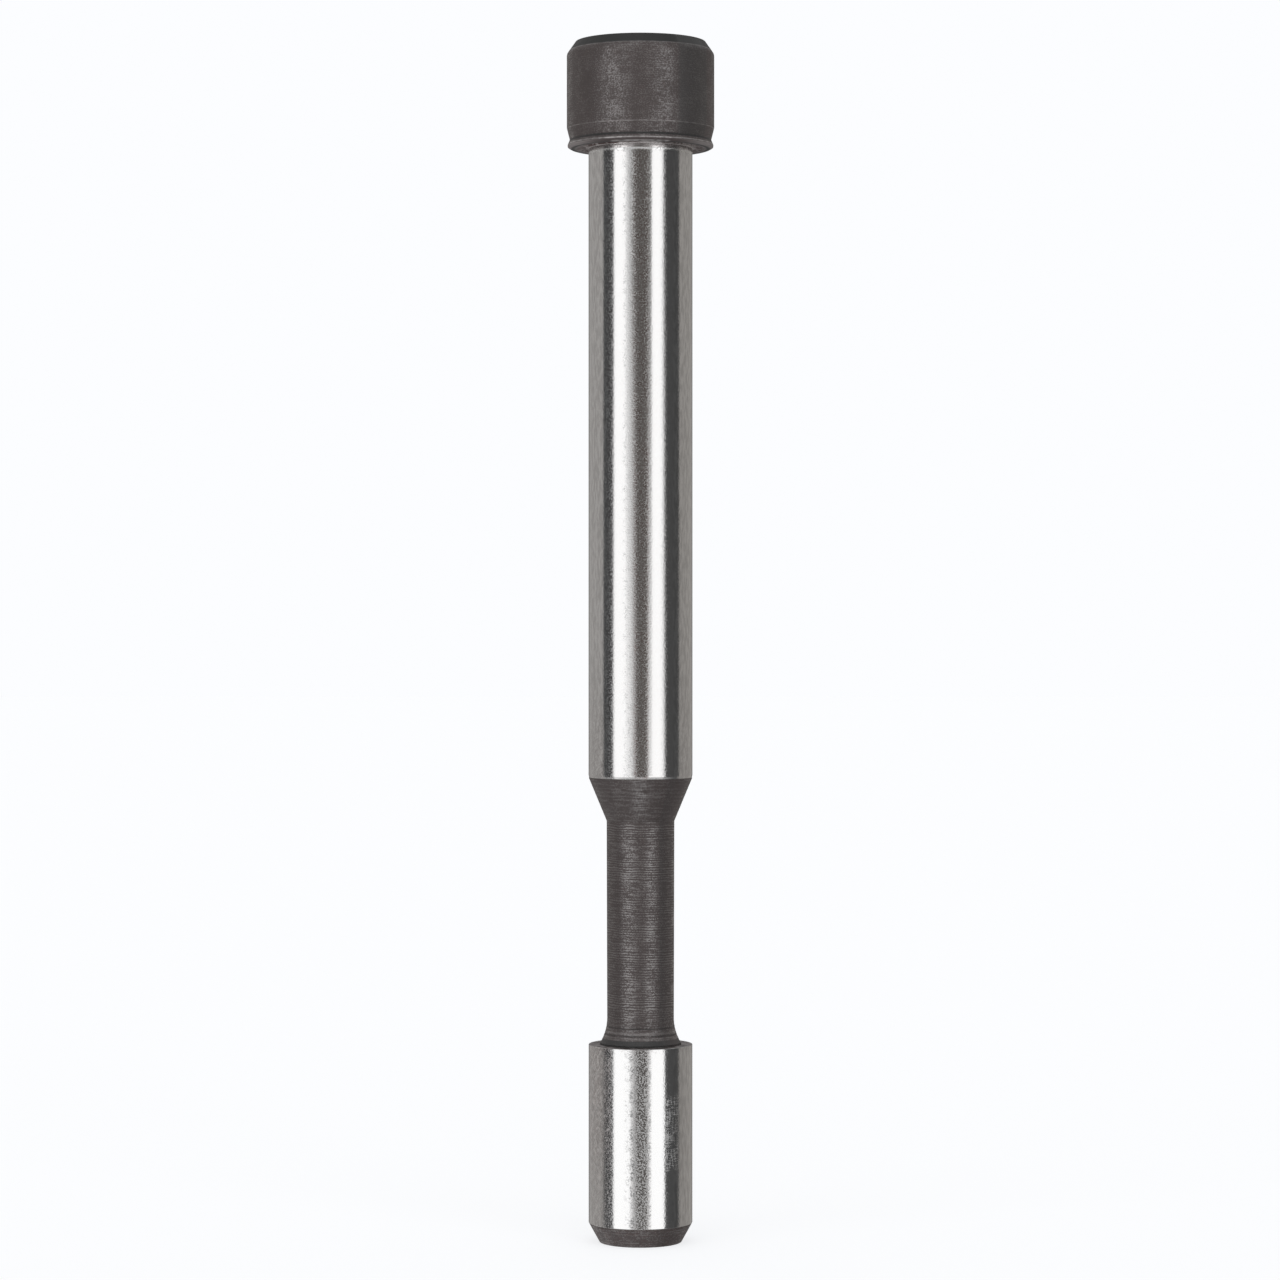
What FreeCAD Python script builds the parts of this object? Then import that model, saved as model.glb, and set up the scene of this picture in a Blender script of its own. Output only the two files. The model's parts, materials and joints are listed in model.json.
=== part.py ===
"""Magnetic pickup tool with a pull-to-release knob, in millimetres.

The tool stands on its nose at Z = 0 with its axis on Z.  A ground shank sleeve
and a ground pilot sleeve are seated on a blackened core with a relieved neck.
A sprung pull rod runs down the middle: it carries the knob at the top and the
magnet at the nose, so that pulling the knob draws the magnet up the pilot and
lets the picked-up part drop off.
"""
import FreeCAD
import Part
import math
import os

# ---------------------------------------------------------------- outside sizes
NOSE_CHAMFER_HEIGHT = 2.95      # lead-in cone at the nose, along the axis
NOSE_CHAMFER_DEPTH = 1.66       # the same cone, across the axis
PILOT_UNDERSIZE = 0.0175        # radial, so that the pilot enters what the shank fits
PILOT_LENGTH = 27.2             # ground length of the pilot
NECK_RADIUS = 5.09
NECK_TAPER = 0.08               # how much wider the neck is at the foot of the cone
NECK_LENGTH = 34.1              # from the top of the pilot to the foot of the cone
NECK_FLARE = 1.21               # how far the relief radius spreads over the pilot
NECK_FILLET_RADIUS = 7.5
CONE_HEIGHT = 6.6
SHANK_RADIUS = 7.9375           # 5/8 inch stock
SHANK_LENGTH = 96.3
EDGE_BREAK = 0.12               # small chamfer on the ends of ground surfaces
STUB_LENGTH = 0.9               # of the collar, left black above the ground shank
BOSS_WIDTH = 0.5                # ring under the flange, beyond the shank
BOSS_HEIGHT = 0.25
FLANGE_RADIUS = 11.13
FLANGE_CORNER = 0.25            # round on the flange's lower edge
FLANGE_EDGE_DEPTH = 0.33        # slope on the flange's upper edge, across the axis
FLANGE_EDGE_HEIGHT = 0.8        # the same slope, along the axis
KNOB_RADIUS = 11.26             # 7/8 inch stock, as blackened
KNOB_HEIGHT = 14.95
KNOB_BEVEL_DEPTH = 0.46         # lower edge, across the axis
KNOB_BEVEL_HEIGHT = 1.85        # lower edge, along the axis
KNOB_CHAMFER_DEPTH = 1.34       # upper edge, across the axis
KNOB_CHAMFER_HEIGHT = 1.9       # upper edge, along the axis

# ----------------------------------------------------------------- inside sizes
RELEASE_TRAVEL = 12.0           # how far the knob lifts the magnet
STOP_ROOM = 0.4                 # room left above the carrier at full travel
SEAT_CLEARANCE = 0.02           # radial, for pressed and bonded seats
RUNNING_CLEARANCE = 0.05        # radial, where the rod and the carrier slide
LOOSE_CLEARANCE = 0.3           # radial, where the rod only passes through
PILOT_WALL = 1.82
SHANK_WALL = 1.64
NOSE_SPIGOT_LENGTH = 5.0
PILOT_SPIGOT_LENGTH = 8.3
SHANK_SPIGOT_LENGTH = 14.0
COLLAR_SPIGOT_LENGTH = 12.0
NOSE_SPIGOT_WALL = 1.06         # of the nose ring, between the pilot and the liner
LINER_WALL = 0.75               # non-magnetic liner, where it shows at the nose
CARRIER_LENGTH = 11.0
CARRIER_SOCKET_DEPTH = 5.5      # that the rod's tail is screwed into
CARRIER_PIN_RADIUS = 0.75
CARRIER_PIN_WALL = 0.3
CARRIER_PIN_SLIT = 0.35
MAGNET_LENGTH = 6.0
MAGNET_RECESS = 0.2             # below the nose, so that the steel nose takes the knocks
MAGNET_SCREW_RADIUS = 1.5       # M3
MAGNET_SCREW_HEAD_RADIUS = 2.8
MAGNET_SCREW_GRIP = 3.5         # thread in the carrier
MAGNET_SCREW_SLOT = 0.8         # width and depth of the driver slot
ROD_RADIUS = 3.0
ROD_TAIL_RADIUS = 2.0
ROD_STEP_DROP = 10.0            # from the clip down to where the rod gets thin
ROD_END_CHAMFER = 0.4
BUSH_WALL = 1.9                 # of the collar's bush
BUSH_RECESS = 0.6               # below the top of the collar
NECK_BUSH_WALL = 1.45
NECK_BUSH_LENGTH = 9.0
WASHER_THICKNESS = 1.0          # both spring seats
WASHER_ROOM = 0.3               # radial, between a spring seat and the shank's bore
SPRING_LENGTH = 46.0            # as fitted, knob down
SPRING_WIRE_RADIUS = 0.5
SPRING_TURNS = 15
CLIP_THICKNESS = 0.8
CLIP_WIDTH = 1.9                # radial
CLIP_GROOVE_DEPTH = 0.5
CLIP_SIDE_PLAY = 0.05
KNOB_SOCKET_DEPTH = 5.0         # that the top of the rod sits in
KNOB_COUNTERBORE_DEPTH = 5.6
KNOB_SCREW_RADIUS = 2.0         # M4
KNOB_SCREW_HEAD_RADIUS = 3.5
KNOB_SCREW_HEAD_HEIGHT = 4.0
KNOB_SCREW_SOCKET = 3.0         # across the flats of the hexagon
KNOB_SCREW_SOCKET_DEPTH = 2.0
KNOB_SCREW_GRIP = 8.0           # thread in the rod
KNOB_SCREW_EDGE = 0.3           # chamfer on the screw's head
HOLE_ALLOWANCE = 0.2            # radial, round a screw's head or shank
THREAD_END_ROOM = 1.0           # tapped hole left past the end of a screw
LOCK_WASHER_THICKNESS = 0.9
LOCK_WASHER_SPLIT = 0.5
LOCK_WASHER_LEAN = 20.0         # degrees that the split leans

# ------------------------------------------------------- heights, from the nose
pilot_bottom = NOSE_CHAMFER_HEIGHT
pilot_top = pilot_bottom + PILOT_LENGTH
cone_bottom = pilot_top + NECK_LENGTH
cone_top = cone_bottom + CONE_HEIGHT
flange_bottom = cone_top + SHANK_LENGTH
flange_top = flange_bottom + FLANGE_CORNER + FLANGE_EDGE_HEIGHT
knob_top = flange_top + KNOB_HEIGHT

nose_ring_top = pilot_bottom + NOSE_SPIGOT_LENGTH
liner_top = pilot_top - PILOT_SPIGOT_LENGTH
core_top = cone_top + SHANK_SPIGOT_LENGTH
collar_bottom = flange_bottom - COLLAR_SPIGOT_LENGTH
stub_bottom = flange_bottom - STUB_LENGTH

magnet_top = MAGNET_RECESS + MAGNET_LENGTH
carrier_top = magnet_top + CARRIER_LENGTH
carrier_pocket_top = carrier_top + RELEASE_TRAVEL + STOP_ROOM
rod_bottom = carrier_top - CARRIER_SOCKET_DEPTH
carrier_pin_height = carrier_top - CARRIER_SOCKET_DEPTH / 2
rod_top = flange_top + KNOB_SOCKET_DEPTH

spring_top = collar_bottom - WASHER_THICKNESS
spring_bottom = spring_top - SPRING_LENGTH
clip_top = spring_bottom - WASHER_THICKNESS
clip_bottom = clip_top - CLIP_THICKNESS
rod_step = clip_bottom - ROD_STEP_DROP

counterbore_bottom = knob_top - KNOB_COUNTERBORE_DEPTH
knob_screw_seat = counterbore_bottom + LOCK_WASHER_THICKNESS
knob_screw_end = rod_top - KNOB_SCREW_GRIP
magnet_screw_end = magnet_top + MAGNET_SCREW_GRIP

# ------------------------------------------------------------------------ radii
pilot_radius = SHANK_RADIUS - PILOT_UNDERSIZE
nose_face_radius = pilot_radius - NOSE_CHAMFER_DEPTH
pilot_bore = pilot_radius - PILOT_WALL
pilot_seat = pilot_bore - SEAT_CLEARANCE
shank_bore = SHANK_RADIUS - SHANK_WALL
shank_seat = shank_bore - SEAT_CLEARANCE

nose_bore = pilot_seat - NOSE_SPIGOT_WALL
liner_radius = nose_bore - SEAT_CLEARANCE
liner_bore = liner_radius - LINER_WALL
carrier_radius = liner_bore - RUNNING_CLEARANCE
carrier_pocket = carrier_radius + LOOSE_CLEARANCE
magnet_radius = carrier_radius - RUNNING_CLEARANCE
rod_way = ROD_TAIL_RADIUS + LOOSE_CLEARANCE
neck_bush_bore = ROD_TAIL_RADIUS + RUNNING_CLEARANCE
neck_bush_radius = neck_bush_bore + NECK_BUSH_WALL
bush_bore = ROD_RADIUS + RUNNING_CLEARANCE
bush_radius = bush_bore + BUSH_WALL
clip_seat = ROD_RADIUS - CLIP_GROOVE_DEPTH
clip_radius = clip_seat + SEAT_CLEARANCE + CLIP_WIDTH
washer_bore = ROD_RADIUS + LOOSE_CLEARANCE
washer_radius = shank_bore - WASHER_ROOM
spring_radius = (ROD_RADIUS + shank_bore) / 2

OUT_OF_THE_WAY = 2 * KNOB_RADIUS    # long enough for a cutting tool to clear any piece
ORIGIN = FreeCAD.Vector(0, 0, 0)
UP = FreeCAD.Vector(0, 0, 1)
ACROSS = FreeCAD.Vector(1, 0, 0)


class Section:
    """Half of a turned piece's section, drawn as (radius, height) steps and turned about Z."""

    def __init__(self, radius, height):
        self.start = self.here = FreeCAD.Vector(radius, 0, height)
        self.edges = []

    def line(self, radius, height):
        there = FreeCAD.Vector(radius, 0, height)
        self.edges.append(Part.LineSegment(self.here, there).toShape())
        self.here = there
        return self

    def arc(self, through, to):
        middle, there = (FreeCAD.Vector(radius, 0, height) for radius, height in (through, to))
        self.edges.append(Part.Arc(self.here, middle, there).toShape())
        self.here = there
        return self

    def turned(self):
        self.line(self.start.x, self.start.z)
        return Part.Face(Part.Wire(self.edges)).revolve(ORIGIN, UP, 360)


def tube(inner, outer, bottom, top, edge=0.0):
    """A plain ring or sleeve, with its two outer edges broken by edge."""
    section = Section(inner, bottom).line(outer - edge, bottom)
    if edge:
        section.line(outer, bottom + edge).line(outer, top - edge)
    return section.line(outer - edge, top).line(inner, top).turned()


def rod(radius, bottom, top):
    return Part.makeCylinder(radius, top - bottom, FreeCAD.Vector(0, 0, bottom), UP)


def crossbar(radius, length, height):
    """A round bar of that length across the axis, centred on it."""
    return Part.makeCylinder(radius, length, FreeCAD.Vector(-length / 2, 0, height), ACROSS)


# ------------------------------------------------------------- the fixed barrel
def nose_ring():
    """Blackened end ring: the tapered lead-in, with a spigot up the pilot."""
    return (
        Section(nose_bore, 0)
        .line(nose_face_radius, 0)
        .line(pilot_radius, pilot_bottom)
        .line(pilot_seat, pilot_bottom)
        .line(pilot_seat, nose_ring_top)
        .line(nose_bore, nose_ring_top)
        .turned()
    )


def pilot_sleeve():
    """Hardened sleeve, ground on the outside."""
    return tube(pilot_bore, pilot_radius, pilot_bottom, pilot_top, EDGE_BREAK)


def tip_liner():
    """Brass liner that the magnet slides in, trapped between the nose ring and the core."""
    return (
        Section(liner_bore, 0)
        .line(liner_radius, 0)
        .line(liner_radius, nose_ring_top)
        .line(pilot_seat, nose_ring_top)
        .line(pilot_seat, liner_top)
        .line(liner_bore, liner_top)
        .turned()
    )


def neck_core():
    """Blackened core: spigot for the pilot, relieved neck, cone and spigot for the shank."""
    rise = math.sqrt(NECK_FILLET_RADIUS**2 - (NECK_FILLET_RADIUS - NECK_FLARE) ** 2)
    halfway = rise / 2
    bulge = NECK_FILLET_RADIUS - math.sqrt(NECK_FILLET_RADIUS**2 - halfway**2)
    foot = NECK_RADIUS + NECK_FLARE
    fillet_top = pilot_top + rise
    bush_seat = neck_bush_radius + SEAT_CLEARANCE
    bush_bottom = core_top - NECK_BUSH_LENGTH
    return (
        Section(carrier_pocket, liner_top)
        .line(pilot_seat, liner_top)
        .line(pilot_seat, pilot_top)
        .line(foot, pilot_top)
        .arc((NECK_RADIUS + bulge, fillet_top - halfway), (NECK_RADIUS, fillet_top))
        .line(NECK_RADIUS + NECK_TAPER, cone_bottom)
        .line(SHANK_RADIUS - EDGE_BREAK, cone_top)
        .line(shank_seat, cone_top)
        .line(shank_seat, core_top)
        .line(bush_seat, core_top)
        .line(bush_seat, bush_bottom)
        .line(rod_way, bush_bottom)
        .line(rod_way, carrier_pocket_top)
        .line(carrier_pocket, carrier_pocket_top)
        .turned()
    )


def neck_bush():
    """Bronze bush in the top of the core, guiding the rod's tail."""
    return tube(neck_bush_bore, neck_bush_radius, core_top - NECK_BUSH_LENGTH, core_top)


def shank_sleeve():
    """Hardened sleeve, ground on the outside, standing on the cone."""
    return tube(shank_bore, SHANK_RADIUS, cone_top, stub_bottom, EDGE_BREAK)


def top_collar():
    """Blackened flanged collar: a spigot down the shank, and a short stub above its end."""
    boss_radius = SHANK_RADIUS + BOSS_WIDTH
    corner = FLANGE_CORNER * (1 - math.sqrt(0.5))
    bush_seat = bush_radius + SEAT_CLEARANCE
    return (
        Section(bush_seat, collar_bottom)
        .line(shank_seat, collar_bottom)
        .line(shank_seat, stub_bottom)
        .line(SHANK_RADIUS - EDGE_BREAK, stub_bottom)
        .line(SHANK_RADIUS, stub_bottom + EDGE_BREAK)
        .line(SHANK_RADIUS, flange_bottom - BOSS_HEIGHT - EDGE_BREAK)
        .line(boss_radius - EDGE_BREAK, flange_bottom - BOSS_HEIGHT)
        .line(boss_radius, flange_bottom)
        .line(FLANGE_RADIUS - FLANGE_CORNER, flange_bottom)
        .arc(
            (FLANGE_RADIUS - corner, flange_bottom + corner),
            (FLANGE_RADIUS, flange_bottom + FLANGE_CORNER),
        )
        .line(FLANGE_RADIUS - FLANGE_EDGE_DEPTH, flange_top)
        .line(bush_seat, flange_top)
        .turned()
    )


def rod_bush():
    """Bronze bush in the collar, guiding the top of the rod."""
    return tube(bush_bore, bush_radius, collar_bottom, flange_top - BUSH_RECESS)


def upper_spring_seat():
    return tube(washer_bore, washer_radius, spring_top, collar_bottom)


# ---------------------------------------------------------- the sprung carriage
def return_spring():
    """Compression spring round the rod, its two end faces ground flat on the seats."""
    pitch = SPRING_LENGTH / SPRING_TURNS
    path = Part.makeHelix(pitch, SPRING_LENGTH + 2 * pitch, spring_radius)
    wire = Part.makeCircle(
        SPRING_WIRE_RADIUS, FreeCAD.Vector(spring_radius, 0, 0), FreeCAD.Vector(0, 1, 0)
    )
    coil = Part.Wire(path).makePipeShell([Part.Wire(wire)], True, True)
    coil.translate(FreeCAD.Vector(0, 0, spring_bottom - pitch))
    return coil.common(rod(shank_bore, spring_bottom, spring_top))


def lower_spring_seat():
    return tube(washer_bore, washer_radius, clip_top, spring_bottom)


def retaining_clip():
    """Open ring snapped into the rod's groove, carrying the lower spring seat."""
    ring = tube(clip_seat + SEAT_CLEARANCE, clip_radius, clip_bottom, clip_top)
    mouth = Part.makeBox(
        OUT_OF_THE_WAY,
        2 * clip_seat - CLIP_GROOVE_DEPTH,
        CLIP_THICKNESS,
        FreeCAD.Vector(0, CLIP_GROOVE_DEPTH / 2 - clip_seat, clip_bottom),
    )
    return ring.cut(mouth)


def pull_rod():
    """Ground rod: tapped at the top for the knob's screw, thin from the step down."""
    groove_bottom = clip_bottom - CLIP_SIDE_PLAY
    groove_top = clip_top + CLIP_SIDE_PLAY
    tapped = KNOB_SCREW_RADIUS + SEAT_CLEARANCE
    tapped_end = knob_screw_end - THREAD_END_ROOM
    body = (
        Section(0, rod_bottom)
        .line(ROD_TAIL_RADIUS, rod_bottom)
        .line(ROD_TAIL_RADIUS, rod_step)
        .line(ROD_RADIUS - ROD_END_CHAMFER, rod_step)
        .line(ROD_RADIUS, rod_step + ROD_END_CHAMFER)
        .line(ROD_RADIUS, groove_bottom)
        .line(clip_seat, groove_bottom)
        .line(clip_seat, groove_top)
        .line(ROD_RADIUS, groove_top)
        .line(ROD_RADIUS, rod_top)
        .line(tapped, rod_top)
        .line(tapped, tapped_end)
        .line(0, tapped_end)
        .turned()
    )
    return body.cut(crossbar(CARRIER_PIN_RADIUS + SEAT_CLEARANCE, OUT_OF_THE_WAY, carrier_pin_height))


def magnet_carrier():
    """Soft steel back piece for the magnet, screwed on the rod's tail and pinned."""
    socket = ROD_TAIL_RADIUS + SEAT_CLEARANCE
    tapped = MAGNET_SCREW_RADIUS + SEAT_CLEARANCE
    tapped_end = magnet_screw_end + THREAD_END_ROOM / 2
    body = tube(0, carrier_radius, magnet_top, carrier_top)
    body = body.cut(rod(socket, rod_bottom, carrier_top + THREAD_END_ROOM))
    body = body.cut(rod(tapped, magnet_top - THREAD_END_ROOM, tapped_end))
    return body.cut(crossbar(CARRIER_PIN_RADIUS + SEAT_CLEARANCE, OUT_OF_THE_WAY, carrier_pin_height))


def carrier_pin():
    """Rolled pin across the carrier and the rod's tail, with its slit upwards."""
    length = 2 * (carrier_radius - LOOSE_CLEARANCE)
    pin = crossbar(CARRIER_PIN_RADIUS, length, carrier_pin_height)
    pin = pin.cut(crossbar(CARRIER_PIN_RADIUS - CARRIER_PIN_WALL, OUT_OF_THE_WAY, carrier_pin_height))
    corner = FreeCAD.Vector(-length / 2, -CARRIER_PIN_SLIT / 2, carrier_pin_height)
    return pin.cut(Part.makeBox(length, CARRIER_PIN_SLIT, CARRIER_PIN_RADIUS, corner))


def magnet():
    """Nickel-plated ring magnet, countersunk at the nose for its screw."""
    hole = MAGNET_SCREW_RADIUS + HOLE_ALLOWANCE
    mouth = MAGNET_SCREW_HEAD_RADIUS + HOLE_ALLOWANCE
    return (
        Section(mouth, MAGNET_RECESS)
        .line(magnet_radius - EDGE_BREAK, MAGNET_RECESS)
        .line(magnet_radius, MAGNET_RECESS + EDGE_BREAK)
        .line(magnet_radius, magnet_top)
        .line(hole, magnet_top)
        .line(hole, MAGNET_RECESS + mouth - hole)
        .turned()
    )


def magnet_screw():
    """Brass countersunk screw, slotted, holding the magnet up against the carrier."""
    sink = MAGNET_RECESS + HOLE_ALLOWANCE / 2
    neck = sink + MAGNET_SCREW_HEAD_RADIUS - MAGNET_SCREW_RADIUS
    body = (
        Section(0, sink)
        .line(MAGNET_SCREW_HEAD_RADIUS, sink)
        .line(MAGNET_SCREW_RADIUS, neck)
        .line(MAGNET_SCREW_RADIUS, magnet_screw_end)
        .line(0, magnet_screw_end)
        .turned()
    )
    corner = FreeCAD.Vector(-OUT_OF_THE_WAY / 2, -MAGNET_SCREW_SLOT / 2, 0)
    return body.cut(
        Part.makeBox(OUT_OF_THE_WAY, MAGNET_SCREW_SLOT, sink + MAGNET_SCREW_SLOT, corner)
    )


def release_knob():
    """Blackened knob: chamfered above, bevelled below, counterbored for its screw."""
    socket = ROD_RADIUS + SEAT_CLEARANCE
    screw_way = KNOB_SCREW_RADIUS + HOLE_ALLOWANCE
    counterbore = KNOB_SCREW_HEAD_RADIUS + HOLE_ALLOWANCE
    return (
        Section(socket, flange_top)
        .line(KNOB_RADIUS - KNOB_BEVEL_DEPTH, flange_top)
        .line(KNOB_RADIUS, flange_top + KNOB_BEVEL_HEIGHT)
        .line(KNOB_RADIUS, knob_top - KNOB_CHAMFER_HEIGHT)
        .line(KNOB_RADIUS - KNOB_CHAMFER_DEPTH, knob_top)
        .line(counterbore, knob_top)
        .line(counterbore, counterbore_bottom)
        .line(screw_way, counterbore_bottom)
        .line(screw_way, rod_top)
        .line(socket, rod_top)
        .turned()
    )


def knob_lock_washer():
    """Split spring washer under the screw's head."""
    inner = KNOB_SCREW_RADIUS + SEAT_CLEARANCE
    ring = tube(inner, KNOB_SCREW_HEAD_RADIUS, counterbore_bottom, knob_screw_seat)
    corner = FreeCAD.Vector(0, -LOCK_WASHER_SPLIT / 2, -OUT_OF_THE_WAY / 2)
    split = Part.makeBox(OUT_OF_THE_WAY, LOCK_WASHER_SPLIT, OUT_OF_THE_WAY, corner)
    split.rotate(ORIGIN, ACROSS, LOCK_WASHER_LEAN)
    split.translate(FreeCAD.Vector(0, 0, (counterbore_bottom + knob_screw_seat) / 2))
    return ring.cut(split)


def knob_screw():
    """Socket head cap screw that clamps the knob down on the end of the rod."""
    head_top = knob_screw_seat + KNOB_SCREW_HEAD_HEIGHT
    body = (
        Section(0, knob_screw_end)
        .line(KNOB_SCREW_RADIUS, knob_screw_end)
        .line(KNOB_SCREW_RADIUS, knob_screw_seat)
        .line(KNOB_SCREW_HEAD_RADIUS, knob_screw_seat)
        .line(KNOB_SCREW_HEAD_RADIUS, head_top - KNOB_SCREW_EDGE)
        .line(KNOB_SCREW_HEAD_RADIUS - KNOB_SCREW_EDGE, head_top)
        .line(0, head_top)
        .turned()
    )
    corner_radius = KNOB_SCREW_SOCKET / math.sqrt(3)
    socket_bottom = head_top - KNOB_SCREW_SOCKET_DEPTH
    corners = [
        FreeCAD.Vector(
            corner_radius * math.cos(math.radians(60 * side)),
            corner_radius * math.sin(math.radians(60 * side)),
            socket_bottom,
        )
        for side in range(6)
    ]
    hexagon = Part.Face(Part.makePolygon(corners + corners[:1]))
    return body.cut(hexagon.extrude(UP * KNOB_SCREW_SOCKET_DEPTH))


PIECES = (
    nose_ring,
    pilot_sleeve,
    tip_liner,
    neck_core,
    neck_bush,
    shank_sleeve,
    top_collar,
    rod_bush,
    upper_spring_seat,
    return_spring,
    lower_spring_seat,
    retaining_clip,
    pull_rod,
    magnet_carrier,
    carrier_pin,
    magnet,
    magnet_screw,
    release_knob,
    knob_lock_washer,
    knob_screw,
)


def main():
    os.makedirs("parts", exist_ok=True)
    for piece in PIECES:
        shape = piece()
        name = piece.__name__
        shape.exportStep(f"parts/{name}.step")
        print(f"{name}: {len(shape.Solids)} solid, {shape.Volume:.1f} mm3, valid {shape.isValid()}")


main()
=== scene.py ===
"""Looks of the pull-to-release magnetic pickup tool: ground steel, black oxide, brass and nickel.

The turned pieces are lathed from their own sections, with the marks that the tool bit left.
Sections are (radius, height) in millimetres; what goes to Blender is in metres.
"""

import json
import math

import bpy
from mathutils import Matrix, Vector


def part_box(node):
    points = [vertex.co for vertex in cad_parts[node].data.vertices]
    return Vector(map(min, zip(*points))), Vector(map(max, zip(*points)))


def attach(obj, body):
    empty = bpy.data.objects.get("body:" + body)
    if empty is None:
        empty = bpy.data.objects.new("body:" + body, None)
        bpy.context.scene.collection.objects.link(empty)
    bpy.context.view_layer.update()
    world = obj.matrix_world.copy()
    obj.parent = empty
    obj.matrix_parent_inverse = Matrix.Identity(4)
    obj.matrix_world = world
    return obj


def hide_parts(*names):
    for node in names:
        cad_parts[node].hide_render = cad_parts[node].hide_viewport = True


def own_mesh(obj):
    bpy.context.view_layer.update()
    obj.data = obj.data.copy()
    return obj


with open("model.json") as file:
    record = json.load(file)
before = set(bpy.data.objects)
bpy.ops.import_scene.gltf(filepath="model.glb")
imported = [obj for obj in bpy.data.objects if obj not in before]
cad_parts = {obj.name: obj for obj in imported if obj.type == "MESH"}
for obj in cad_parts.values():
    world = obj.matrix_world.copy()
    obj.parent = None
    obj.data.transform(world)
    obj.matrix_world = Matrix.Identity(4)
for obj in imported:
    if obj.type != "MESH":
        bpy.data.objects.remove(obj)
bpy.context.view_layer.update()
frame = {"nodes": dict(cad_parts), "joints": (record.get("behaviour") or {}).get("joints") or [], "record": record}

MM = 0.001

# ------------------------------------------------- sizes that the boxes don't give, mm
EDGE = 0.07                 # broken edge on black pieces
GROUND_EDGE = 0.08          # broken edge on ground pieces
WORN_EDGE = 0.1             # how far the lower end of the shank is worn in
NOSE_CHAMFER_DEPTH = 1.66
NECK_RADIUS = 5.09
NECK_TAPER = 0.08
NECK_FLARE = 1.21
NECK_FILLET_RADIUS = 7.5
CONE_HEIGHT = 6.6
BOSS_WIDTH = 0.5
BOSS_HEIGHT = 0.25
STUB_LENGTH = 0.9
FLANGE_BEVEL = 0.6          # width of the bevel round the foot of the rim
FLANGE_LIP = 0.4            # how far the bevel hangs below the dished underside
FLANGE_EDGE_DEPTH = 0.33
KNOB_BEVEL_DEPTH = 0.46
KNOB_BEVEL_HEIGHT = 1.85
KNOB_CHAMFER_DEPTH = 1.34
KNOB_CHAMFER_HEIGHT = 1.9
COUNTERBORE_RADIUS = 3.7
COUNTERBORE_DEPTH = 5.6
COUNTERBORE_BEVEL = 0.25
KNOB_BORE_RADIUS = 3.02
KNOB_BORE_DEPTH = 5.0
SCREW_WAY_RADIUS = 2.2      # of the knob screw's hole
ROD_WAY_RADIUS = 2.3        # of the hole for the rod's thin end
POCKET_ROOM = 0.3           # round the magnet carrier, in the neck's foot
POCKET_END_ROOM = 0.4       # above the carrier when the knob is fully up
LINER_FOOT_RADIUS = 5.0     # of the liner, inside the nose ring
SPIGOT_STEP = 0.28          # how much wider the shank's spigots are than a spring seat
SEAT_CLEARANCE = 0.02
BLACK_STEP = 0.02           # how far the cone and the nose lie inside the ground pieces
STUB_STEP = 0.01            # how far the collar's stub lies inside the shank
SPRING_WIRE = 1.0           # across the wire
SPRING_TURNS = 17.0         # with the closed turn at each end
CLOSED_PITCH = 1.04         # of a closed turn, in widths of the wire

# ------------------------------------------------------------------ how it is meshed
SEGMENTS = 160              # round each turned piece
NECK_SEGMENTS = 120         # round the neck, which has many rows
ROW = 0.5                   # plain rows, mm
MARKED_ROW = 0.08           # rows where turning marks are cut, mm
ARC_STEPS = 4               # round each broken edge
HOLLOW_STEPS = 24           # along a hollow arc
RAIL_RADIUS = 1.0           # of the circle that a section is carried round, mm
MARK_WANDER = 0.23          # noise cells a turn, for the spacing of turning marks
MARK_FADING = 0.11          # noise cells a turn, for their depth
MARK_CHATTER = 700.0        # noise cells a metre, for their unevenness


def span(node):
    """Lowest height, highest height and outer radius of a CAD node, in millimetres."""
    low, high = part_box(node)
    return low.z / MM, high.z / MM, high.x / MM


nose_bottom, nose_ring_top, _ = span("nose_ring")
pilot_bottom, pilot_top, pilot_radius = span("pilot_sleeve")
core_bottom, core_top, _ = span("neck_core")
cone_top, stub_bottom, shank_radius = span("shank_sleeve")
collar_bottom, flange_top, flange_radius = span("top_collar")
_, knob_top, knob_radius = span("release_knob")
spigot_radius = span("upper_spring_seat")[2] + SPIGOT_STEP
pilot_seat = span("tip_liner")[2]
cone_bottom = cone_top - CONE_HEIGHT
flange_bottom = stub_bottom + STUB_LENGTH
boss_bottom = flange_bottom - BOSS_HEIGHT
travel = frame["joints"][0]["range_m"][1] / MM


# ======================================================================== shader maths
class Field:
    """A number in a shader tree. Arithmetic on it adds Math nodes to that tree."""

    def __init__(self, shader, socket):
        self.shader = shader
        self.socket = socket

    def maths(self, operation, *others):
        node = self.shader.node("ShaderNodeMath", {"operation": operation}, self, *others)
        return Field(self.shader, node.outputs[0])

    def __add__(self, other):
        return self.maths("ADD", other)

    def __sub__(self, other):
        return self.maths("SUBTRACT", other)

    def __mul__(self, other):
        return self.maths("MULTIPLY", other)

    def __truediv__(self, other):
        return self.maths("DIVIDE", other)

    def __rsub__(self, other):
        return (self * -1.0) + other

    __radd__ = __add__
    __rmul__ = __mul__

    def between(self, low, high):
        """0 at low and below, 1 at high and above, and smooth in between; high may be the lower."""
        settings = {"interpolation_type": "SMOOTHSTEP"}
        node = self.shader.node("ShaderNodeMapRange", settings, self, low, high)
        return Field(self.shader, node.outputs[0])

    def near(self, place, reach):
        """1 at place, falling to 0 at reach on either side of it."""
        return (self - place).maths("ABSOLUTE").between(reach, 0.0)


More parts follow.
